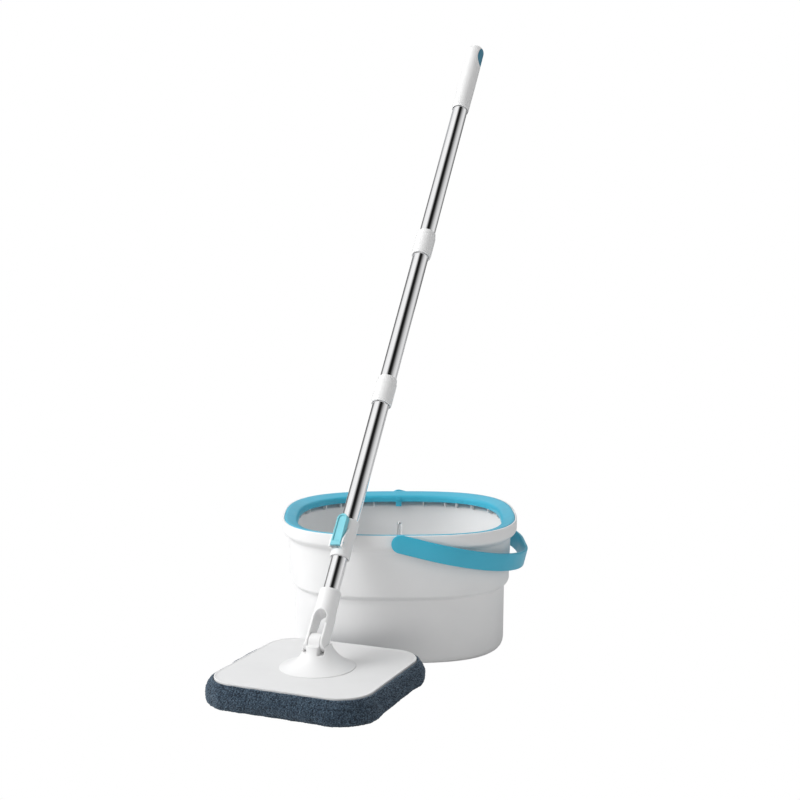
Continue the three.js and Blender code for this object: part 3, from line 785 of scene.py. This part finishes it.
def set_points(piece, points):
    """Moves a piece's points to these places in the frame's metres."""
    piece.data.vertices.foreach_set("co", np.asarray(points, np.float32).ravel())
    piece.data.update()


def points_of(piece):
    return np.array([v.co for v in piece.data.vertices])


def to_plate(points):
    """Points in millimetres in the plate's own frame, with its origin on the floor."""
    inverse = np.array(PLATE.inverted())
    return (points / MM) @ inverse[:3, :3].T + inverse[:3, 3]


def from_plate(local):
    full = np.array(PLATE)
    return (local @ full[:3, :3].T + full[:3, 3]) * MM


def square_distance(local):
    """How far each point lies outside the plate's side."""
    half = PLATE_SIDE / 2 - PLATE_CORNER
    corner = np.maximum(np.abs(local[:, :2]) - half, 0)
    inside = np.max(np.abs(local[:, :2]), axis=1) - PLATE_SIDE / 2
    outside = np.hypot(corner[:, 0], corner[:, 1]) - PLATE_CORNER
    return np.where((corner > 0).any(axis=1), outside, inside)


def keep_pad_in_room(local, start):
    """Lets only the free side swell, and keeps it on the floor and clear of the plate's edge."""
    free = np.clip((square_distance(start) - 2.5) / 4, 0, 1)[:, None]
    local = start + (local - start) * free
    local[:, 2] = np.clip(local[:, 2], 0.3, PAD_TOP + 1)
    return local


def mop_pad():
    """Filled microfibre pad that the plate sits in."""
    piece = pad_form()
    start = to_plate(points_of(piece))
    swollen = to_plate(puff(piece, pressure=4.0, frames=12, cap=5.0))
    set_points(piece, from_plate(keep_pad_in_room(swollen, start)))
    finer = piece.modifiers.new("finer", "SUBSURF")
    finer.levels = 2
    finer.render_levels = 2
    take_modifiers(piece)
    add_pile(piece)
    piece.data.shade_smooth()
    finish_piece(piece, MICROFIBRE, "mop_head", "microfibre", "mop_pad")
    return piece


def add_pile(piece):
    """Raises the surface into short tufts, more on the open sides than under the plate."""
    count = len(piece.data.vertices)
    normals = np.zeros(count * 3, np.float32)
    piece.data.vertex_normals.foreach_get("vector", normals)
    normals = normals.reshape(-1, 3)
    points = points_of(piece)
    local = to_plate(points)
    distance = square_distance(local)
    random = np.random.default_rng(7)
    waves = np.zeros(count)
    for size, depth in PILE_WAVES:
        for _ in range(PILE_DIRECTIONS):
            direction = random.normal(size=3)
            direction /= np.linalg.norm(direction)
            phase = random.uniform(0, TAU)
            waves += depth / PILE_DIRECTIONS ** 0.5 * np.sin(local @ direction * TAU / size + phase)
    open_side = np.clip((distance - 0.8) / 4, 0.1, 1) * np.clip(local[:, 2] / 3, 0, 1) * (distance > 0.2)
    seam = np.exp(-((local[:, 2] - PAD_SEAM_HEIGHT) / PAD_SEAM_WIDTH) ** 2) * PAD_SEAM_DEPTH
    shift = (waves * 0.9 - seam) * open_side
    set_points(piece, points + normals * shift[:, None] * MM)


# ---------------------------------------------------------------- yoke and tubes
YOKE_TOP = 79.5
YOKE_RADIUS = 16
ARCH_TOP = 44.5
ARCH_HALF = 9.4
PRONG_RADIUS = 13
YOKE_FLARE = 17.4
SOCKET_DEPTH = 24
INNER_TUBE = 12.2
INNER_TUBE_TOP = 385
TUBE = 13.2
TUBE_WALL = 0.8
LOCK_BOTTOM = 132
LOCK_RING_TOP = 142
TUBE_SEAT = 4       # from the ring's top up to the end of the lowest section
LOCK_TOP = 193
LOCK_RADIUS = 15
LOWER_COUPLER = (400, 448.5)
UPPER_COUPLER = (694, 743)
COUPLER_RADIUS = 16.5
GRIP_BOTTOM = 1025
GRIP_DEPTH = 60     # how far the tube runs up inside the grip
GRIP_RADIUS = 15
GRIP_DOME = 14
POLE_TOP = 1182.5


def yoke():
    """Fork with an arched gap, two round-ended prongs and a socket for the inner tube."""
    socket = turned("socket", fillet([
        (0, ARCH_TOP - 20),
        (YOKE_FLARE, ARCH_TOP - 20, 3),
        (YOKE_RADIUS, ARCH_TOP + 8, 6),
        (YOKE_RADIUS, YOKE_TOP, 1.8),
        (0, YOKE_TOP),
    ], 1.0, 6), POLE)
    solids = [socket]
    for side in (-1, 1):
        low, high = sorted((side * ARCH_HALF, side * PRONG_OUTER))
        end = rod("prong_end", PRONG_RADIUS, low, high, along_x(POLE), 1.0)
        outline = [(low, 0), (high, 0), (high, ARCH_TOP - 8), (low, ARCH_TOP - 8)]
        combine(end, prism("prong", outline, -PRONG_RADIUS + 0.5, PRONG_RADIUS - 0.5, POLE), "UNION")
        combine(end, rod("round", YOKE_FLARE, -PRONG_RADIUS - 2, ARCH_TOP, POLE), "INTERSECT")
        solids.append(end)
    cuts = [
        rod("arch", ARCH_HALF, -40, 40, along_y(POLE, z=ARCH_TOP - ARCH_HALF)),
        block("gap", (-ARCH_HALF, -40, -30), (ARCH_HALF, 40, ARCH_TOP - ARCH_HALF), POLE),
        rod("lug_room", 13.5, -ARCH_HALF, ARCH_HALF, along_x(POLE)),
        rod("pin_hole", FOLD_PIN_RADIUS + GAP, -PRONG_OUTER + 1.4, PRONG_OUTER - 1.4, along_x(POLE)),
        rod("socket_bore", INNER_TUBE + GAP, YOKE_TOP - SOCKET_DEPTH, YOKE_TOP + 5, POLE, 0),
    ]
    piece = moulded("fork", solids, cuts, 0.7, 7)
    finish_piece(piece, PART_WHITE, "yoke", "white_plastic", "yoke")


def tubes():
    """The thin tube that the yoke holds, and the three sections of the pole round it."""
    inner_low = YOKE_TOP - SOCKET_DEPTH + GAP
    inner = tube("lower_tube", INNER_TUBE, INNER_TUBE - TUBE_WALL, inner_low, INNER_TUBE_TOP, POLE)
    finish_piece(inner, CHROME, "yoke", "chrome_tube", "inner_tube")
    middle_low = sum(LOWER_COUPLER) / 2
    middle_high = sum(UPPER_COUPLER) / 2
    spans = {
        "tube_lower": (LOCK_RING_TOP + TUBE_SEAT, middle_low - GAP),
        "tube_middle": (middle_low + GAP, middle_high - GAP),
        "tube_upper": (middle_high + GAP, GRIP_BOTTOM + GRIP_DEPTH),
    }
    for node, (low, high) in spans.items():
        piece = tube("outer_" + node, TUBE, TUBE - TUBE_WALL, low, high, POLE)
        finish_piece(piece, CHROME, "pole", "chrome_tube", node)


def couplers():
    """Screw sleeves over the joints of the pole, each with a stepped upper end."""
    bore = TUBE + GAP
    for node, (low, high) in (("coupler_lower", LOWER_COUPLER), ("coupler_upper", UPPER_COUPLER)):
        outline = [
            (bore, low + 5),
            (bore, low, 0.5),
            (COUPLER_RADIUS - 0.6, low, 1.2),
            (COUPLER_RADIUS, low + 4, 2),
            (COUPLER_RADIUS, high - 9, 2),
            (COUPLER_RADIUS - 0.8, high - 8.4, 0.3),
            (COUPLER_RADIUS - 1.6, high, 1.2),
            (bore, high, 0.5),
            (bore, low + 5),
        ]
        piece = turned("sleeve_" + node, fillet(outline, 0.5, 5)[:-1], POLE, closed=True)
        finish_piece(piece, PART_WHITE, "pole", "white_plastic", node)


# ---------------------------------------------------------------- lock
LEVER_WIDTH = 17
LEVER_LENGTH = 51.4
LEVER_BOTTOM = 144.6
LEVER_PIVOT = 149
LEVER_FACE = 22
LEVER_THICK = 8.2
BUSH_ROOM = 13.8
CHEEK_FACE = 20.5
CHEEK_THICK = 3.5
LEVER_PIN = 18
LEVER_PIN_RADIUS = 1.5
LEVER_RIM = 2.6
THUMB_DEPTH = 1.8
KNUCKLE = 4.1


def lock_housing():
    """A sleeve on the tubes, with two cheeks that hold the lever's pin."""
    small_bore = INNER_TUBE + GAP
    large_bore = TUBE + GAP
    sleeve = turned("sleeve", fillet([
        (small_bore, LOCK_BOTTOM + 1),
        (small_bore, LOCK_BOTTOM, 0.4),
        (LOCK_RADIUS, LOCK_BOTTOM, 1.6),
        (LOCK_RADIUS, LOCK_TOP, 1.6),
        (large_bore, LOCK_TOP, 0.4),
        (large_bore, LOCK_RING_TOP + TUBE_SEAT),
        (small_bore, LOCK_RING_TOP + TUBE_SEAT),
        (small_bore, LOCK_RING_TOP - 2),
        (BUSH_ROOM, LOCK_RING_TOP - 2),
        (BUSH_ROOM, LOCK_BOTTOM + 3),
        (small_bore, LOCK_BOTTOM + 3),
        (small_bore, LOCK_BOTTOM + 1),
    ], 0.0, 4)[:-1], LOCK, closed=True)
    outer = LEVER_WIDTH / 2 + CHEEK_THICK
    inner = LEVER_WIDTH / 2 + 0.4
    pivot = along_x(LOCK, y=-LEVER_PIN, z=LEVER_PIVOT)
    side = Matrix.Rotation(-math.pi / 2, 4, "Z")
    outline = [
        (4, LOCK_RING_TOP + 0.2),
        (CHEEK_FACE, LOCK_RING_TOP + 0.2),
        (CHEEK_FACE, LEVER_PIVOT + 6),
        (LOCK_RADIUS - 2, LEVER_PIVOT + 26),
        (4, LEVER_PIVOT + 30),
    ]
    cheeks = prism("cheeks", outline, -outer, outer, LOCK @ side)
    combine(cheeks, rod("cheek_bore", TUBE + 0.9, LOCK_BOTTOM, LOCK_TOP + 9, LOCK, 0), "DIFFERENCE")
    cuts = [
        block("lever_room", (-inner, -60, LOCK_RING_TOP), (inner, -TUBE + 0.5, LOCK_TOP + CLEAR), LOCK),
        rod("pin_hole", LEVER_PIN_RADIUS + GAP, -outer - 2, outer + 2, pivot),
    ]
    piece = moulded("clamp_body", [sleeve, cheeks], cuts, 0.5, 4)
    finish_piece(piece, PART_WHITE, "pole", "white_plastic", "lock_housing")
    pin = rod("clamp_pin", LEVER_PIN_RADIUS, -outer + 0.2, outer - 0.2, pivot, 0.3, 24)
    finish_piece(pin, STEEL, "pole", "bright_steel", "lever_pin")


def lever_outline(inset):
    half = LEVER_WIDTH / 2
    top = LEVER_BOTTOM + LEVER_LENGTH - half
    points = [(-half + inset, LEVER_BOTTOM + inset), (half - inset, LEVER_BOTTOM + inset)]
    return points + arc(0, top, half - inset, 0, 180, 24)


def lock_lever():
    """Thumb lever with a raised edge round its face, cut back below its pin."""
    back = -LEVER_FACE + LEVER_THICK
    half = LEVER_WIDTH / 2
    pivot = along_x(LOCK, y=-LEVER_PIN, z=LEVER_PIVOT)
    body = prism("plate", lever_outline(0), -LEVER_FACE, back, LOCK)
    thumb = prism("thumb", lever_outline(LEVER_RIM), -LEVER_FACE - CLEAR, -LEVER_FACE + THUMB_DEPTH, LOCK)
    combine(body, thumb, "DIFFERENCE")
    low = (-half - 2, -LEVER_PIN, LEVER_BOTTOM - 2)
    combine(body, block("clear", low, (half + 2, 0, LEVER_PIVOT), LOCK), "DIFFERENCE")
    knuckle = rod("knuckle", KNUCKLE, -half + 0.05, half - 0.05, pivot, 0.3)
    bore = rod("bore", LEVER_PIN_RADIUS + GAP, -half - 2, half + 2, pivot, 0)
    piece = moulded("lever", [body, knuckle], [bore], 0.45, 3)
    finish_piece(piece, LEVER_BLUE, "lock_lever", "lever_plastic", "lock_lever")


# ---------------------------------------------------------------- grip
WAVE_LENGTH = 43
WAVE_DEPTH = 0.8
GRIP_SWELL = 0.5
INSERT_SIZE = (10.5, 12, 21)    # half sizes of the scoop across, deep and high
INSERT_DROP = 26                # from the grip's top down to the scoop's centre


def grip_levels():
    """Height and scale of each ring, up the grip's side and over its domed top."""
    shoulder = POLE_TOP - GRIP_DOME
    levels = 70
    for i in range(levels + 1):
        yield GRIP_BOTTOM + (shoulder - GRIP_BOTTOM) * i / levels, 1.0
    for degrees in range(6, 90, 7):
        angle = math.radians(degrees)
        yield shoulder + GRIP_DOME * math.sin(angle), math.cos(angle)
    yield POLE_TOP, 0.0


def grip_solid(name):
    """Grip with shallow finger waves down its left side and a domed top."""
    rings = []
    for z, scale in grip_levels():
        ring = []
        wave = WAVE_DEPTH * math.sin(TAU * (z - GRIP_BOTTOM) / WAVE_LENGTH)
        taper = GRIP_SWELL * math.sin(math.pi * (z - GRIP_BOTTOM) / (POLE_TOP - GRIP_BOTTOM))
        for i in range(ROUND):
            angle = TAU * i / ROUND
            facing = max(0.0, -math.cos(angle)) ** 1.5
            radius = (GRIP_RADIUS + taper + wave * facing) * scale
            ring.append((radius * math.cos(angle), radius * math.sin(angle), z))
        rings.append(ring if scale > 0 else [(0, 0, z)])
    return skin(name, rings, POLE)


def insert_ball(grow):
    """Scoop on the right of the grip's top, which the blue insert fills."""
    across, deep, high = (half + grow for half in INSERT_SIZE)
    steps = 24
    rings = []
    for i in range(steps + 1):
        angle = math.pi * i / steps
        ring = circle(math.sin(angle), 48) if 0 < i < steps else [(0, 0)]
        z = POLE_TOP - INSERT_DROP - high * math.cos(angle)
        rings.append([(GRIP_RADIUS + 1 + across * x, deep * y, z) for x, y in ring])
    return skin("ball", rings, POLE)


def grip():
    """Hand grip with its blue insert."""
    bore = rod("bore", TUBE + GAP, GRIP_BOTTOM - 2 * CLEAR, GRIP_BOTTOM + GRIP_DEPTH + GAP, POLE, 0)
    body = moulded("hand_grip", [grip_solid("grip_body")], [bore, insert_ball(0.25)], 0.65, 4)
    finish_piece(body, PART_WHITE, "pole", "white_plastic", "grip")
    insert = grip_solid("insert_body")
    combine(insert, insert_ball(0.0), "INTERSECT")
    insert = moulded("grip_cap", [insert], (), 0.5, 4)
    # The insert takes the darkened blue, which is painted shade on the blue plastic.
    finish_piece(insert, CAP_BLUE_PAINTED_SHADE, "pole", "blue_plastic", "grip_insert")


# ---------------------------------------------------------------- floor, light and camera
# Brightness of the studio's panels by their bearing in degrees round the pole, from the side that faces the
# camera and clockwise. A black flag hangs in front, and the panel on the left is the brightest.
PANELS = (
    (-180, 0.12),
    (-132, 0.14),
    (-112, 0.45),
    (-98, 1.0),
    (-46, 1.05),
    (-33, 0.65),
    (-20, 0.1),
    (-13, 0.01),
    (9, 0.01),
    (17, 0.05),
    (30, 0.25),
    (50, 0.6),
    (80, 0.86),
    (100, 0.8),
    (116, 0.38),
    (132, 0.2),
    (150, 0.14),
    (180, 0.12),
)


def studio():
    """White floor, a world of panels that stand round the pole's own axis, and three softboxes."""
    floor = block("floor", (-6000, -6000, -6), (6000, 6000, 0))
    nodes = Nodes("floor_white")
    nodes.link(nodes.mix(nodes.noise(3.0), (0.78, 0.78, 0.78), (0.8, 0.8, 0.8)), "Base Color")
    nodes.set(Roughness=0.9)
    white_to_camera(nodes.tree, nodes.shader.outputs["BSDF"], "ShaderNodeOutputMaterial", "Material Output")
    floor.data.materials.append(nodes.material)
    world = bpy.data.worlds.new("studio")
    bpy.context.scene.world = world
    world.use_nodes = True
    background = world.node_tree.nodes["Background"]
    world.node_tree.links.new(panels(world.node_tree), background.inputs["Color"])
    backdrop = background.outputs["Background"]
    white_to_camera(world.node_tree, backdrop, "ShaderNodeOutputWorld", "World Output")
    softbox("key", (-1.9, -0.55, 1.75), (0, -0.1, 0.2), (1.5, 1.5), 37)
    softbox("fill", (0.2, -2.4, 1.4), (0, -0.1, 0.2), (1.6, 1.6), 9)
    softbox("overhead", (0.1, 0.1, 2.6), (0, 0, 0), (1.4, 1.4), 3)


def white_to_camera(tree, shader, kind, output_name):
    """Shows pure white to the camera, and the given shader to everything else."""
    light_path = tree.nodes.new("ShaderNodeLightPath")
    white = tree.nodes.new("ShaderNodeEmission" if kind.endswith("Material") else "ShaderNodeBackground")
    white.inputs["Color"].default_value = (1, 1, 1, 1)
    mix = tree.nodes.new("ShaderNodeMixShader")
    tree.links.new(light_path.outputs["Is Camera Ray"], mix.inputs["Fac"])
    tree.links.new(shader, mix.inputs[1])
    tree.links.new(white.outputs[0], mix.inputs[2])
    tree.links.new(mix.outputs[0], tree.nodes[output_name].inputs["Surface"])


def panels(tree):
    """Colour of the world by its bearing round the pole."""
    toward_eye = -LOOK + POLE_AXIS * LOOK.dot(POLE_AXIS)
    toward_eye.normalize()
    rightward = POLE_AXIS.cross(toward_eye)
    direction = tree.nodes.new("ShaderNodeTexCoord").outputs["Generated"]
    shares = []
    for axis in (rightward, toward_eye):
        dot = tree.nodes.new("ShaderNodeVectorMath")
        dot.operation = "DOT_PRODUCT"
        dot.inputs[1].default_value = axis
        tree.links.new(direction, dot.inputs[0])
        shares.append(dot.outputs["Value"])
    bearing = tree.nodes.new("ShaderNodeMath")
    bearing.operation = "ARCTAN2"
    tree.links.new(shares[0], bearing.inputs[0])
    tree.links.new(shares[1], bearing.inputs[1])
    share = tree.nodes.new("ShaderNodeMapRange")
    share.inputs["From Min"].default_value = -math.pi
    share.inputs["From Max"].default_value = math.pi
    tree.links.new(bearing.outputs["Value"], share.inputs["Value"])
    ramp = tree.nodes.new("ShaderNodeValToRGB")
    stops = ramp.color_ramp.elements
    while len(stops) < len(PANELS):
        stops.new(0.5)
    for stop, (angle, level) in zip(stops, PANELS):
        stop.position = (angle + 180) / 360
        stop.color = (level, level, level, 1)
    tree.links.new(share.outputs["Result"], ramp.inputs["Fac"])
    return with_sky(tree, direction, ramp.outputs["Color"])


SKY = Vector((0, 0.75, 0.66))
SKY_COLOR = (0.95, 0.97, 1.0, 1)


def with_sky(tree, direction, color):
    """Adds a bright sweep high behind the object, which the upward faces mirror and the tubes don't."""
    dot = tree.nodes.new("ShaderNodeVectorMath")
    dot.operation = "DOT_PRODUCT"
    dot.inputs[1].default_value = SKY
    tree.links.new(direction, dot.inputs[0])
    part = tree.nodes.new("ShaderNodeMapRange")
    part.inputs["From Min"].default_value = 0.8
    part.inputs["From Max"].default_value = 0.95
    tree.links.new(dot.outputs["Value"], part.inputs["Value"])
    mix = tree.nodes.new("ShaderNodeMix")
    mix.data_type = "RGBA"
    tree.links.new(part.outputs["Result"], mix.inputs["Factor"])
    tree.links.new(color, mix.inputs[6])
    mix.inputs[7].default_value = SKY_COLOR
    return mix.outputs[2]


def softbox(name, place, target, size, power):
    """An area light that lights the plastics but isn't mirrored in the tubes."""
    data = bpy.data.lights.new(name, "AREA")
    data.shape = "RECTANGLE"
    data.size, data.size_y = size
    data.energy = power
    light = bpy.data.objects.new(name, data)
    light.location = place
    light.rotation_euler = (Vector(target) - Vector(place)).to_track_quat("-Z", "Y").to_euler()
    light.visible_glossy = False
    bpy.context.scene.collection.objects.link(light)


EYE = Vector((-0.0195, -2.1943, 0.6324))
TILT = math.radians(6.34)
TURN = math.radians(-0.53)
LOOK = Vector((-math.sin(TURN) * math.cos(TILT), math.cos(TURN) * math.cos(TILT), -math.sin(TILT)))


def camera():
    """Eye height 632 mm, 2.19 m in front of the bucket, looking 6.3 degrees down."""
    data = bpy.data.cameras.new("camera")
    data.sensor_width = 36
    data.lens = 61.32
    data.clip_end = 50
    eye = bpy.data.objects.new("camera", data)
    eye.location = EYE
    eye.rotation_euler = (math.pi / 2 - TILT, 0, TURN)
    bpy.context.scene.collection.objects.link(eye)
    bpy.context.scene.camera = eye


def cad_pieces():
    """CAD nodes whose shape is already right keep it and take a finished material."""
    looks = {
        "bail_pin_front": BLUE,
        "bail_pin_back": BLUE,
        "spindle_socket": PART_WHITE,
        "drive_nut": PART_WHITE,
        "guide_bush": PART_WHITE,
        "strip_plug": PART_WHITE,
        "twisted_strip": STEEL,
    }
    for name, look in looks.items():
        mesh = frame["nodes"][name].data
        mesh.materials.clear()
        mesh.materials.append(look)


camera()
bucket_shell()
rim_ring()
spindle()
bail()
mop_plate()
mop_pad()
hub()
yoke()
tubes()
couplers()
lock_housing()
lock_lever()
grip()
cad_pieces()
studio()
bpy.context.scene.view_settings.view_transform = "Standard"
